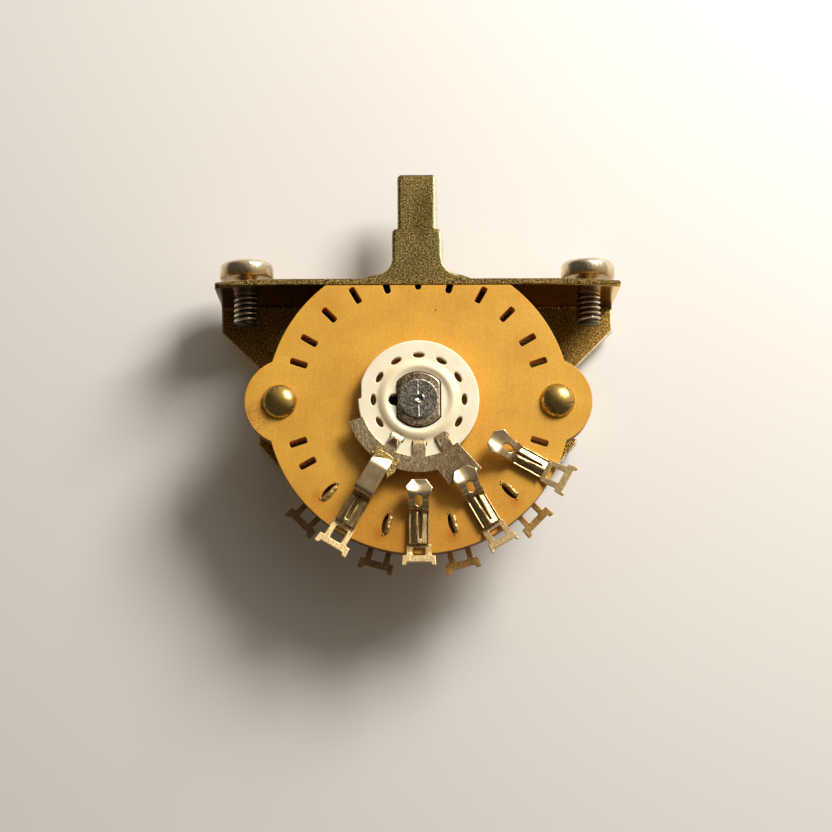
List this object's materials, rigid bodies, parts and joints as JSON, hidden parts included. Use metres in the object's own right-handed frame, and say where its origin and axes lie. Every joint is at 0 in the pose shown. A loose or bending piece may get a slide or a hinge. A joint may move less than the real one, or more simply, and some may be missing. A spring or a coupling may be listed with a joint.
{
  "type": "lever selector switch",
  "caption": "Rocking lever selector switch on a folded metal bracket, with a round contact wafer, rotor and solder terminals, as used to choose guitar pickups.",
  "frame": {"origin": "middle of the flange's top face, halfway between the two screws, on the screw line", "axes": "+X along the two screws, +Z along the lever at its middle position, the wafer's front faces -Y"},
  "size_m": [0.048, 0.0166, 0.0494],
  "materials": {
    "zinc_bracket": "yellow zinc plated sheet, satin with a fine grain, dulled",
    "zinc_lever": "yellow zinc plated, grainy, bright on worn edges",
    "dark_steel": "plain turned steel, darkened, scribed line and centre mark on the nose",
    "spring_steel": "plain spring steel",
    "phenolic_board": "golden tan phenolic board, satin, slightly mottled, brown cut edges",
    "nylon": "cream nylon, satin",
    "contact_metal": "dull silver plated sheet with a fine crossed grain",
    "silvered_terminal": "bright silver plated brass, slightly yellowed",
    "brass_rivet": "domed brass rivet, dark stained spots",
    "brass_spacer": "plain brass tube",
    "nickel_screw": "nickel plated steel, slightly yellowed"
  },
  "bodies": {
    "base": {"bracket": "zinc_bracket", "wafer": "phenolic_board", "front_common": "silvered_terminal", "front_clip_1": "silvered_terminal", "front_clip_2": "silvered_terminal", "front_clip_3": "silvered_terminal", "back_common": "silvered_terminal", "back_clip_1": "silvered_terminal", "back_clip_2": "silvered_terminal", "back_clip_3": "silvered_terminal", "rivet_left": "brass_rivet", "rivet_right": "brass_rivet", "spacer_left": "brass_spacer", "spacer_right": "brass_spacer", "screw_left": "nickel_screw", "screw_right": "nickel_screw", "detent_spring": "spring_steel", "spring_rivets": "nickel_screw"},
    "selector": {"lever": "zinc_lever", "shaft": "dark_steel", "retaining_ring": "spring_steel", "rotor_front": "nylon", "rotor_back": "nylon", "front_contact": "contact_metal", "back_contact": "contact_metal"}
  },
  "joints": [
    {"name": "selector_turn", "type": "hinge", "parent": "base", "child": "selector", "pos_m": [0, 0, -0.0149], "axis": [0, 1, 0], "range_deg": [-30, 30], "deforming": ["detent_spring"]}
  ]
}
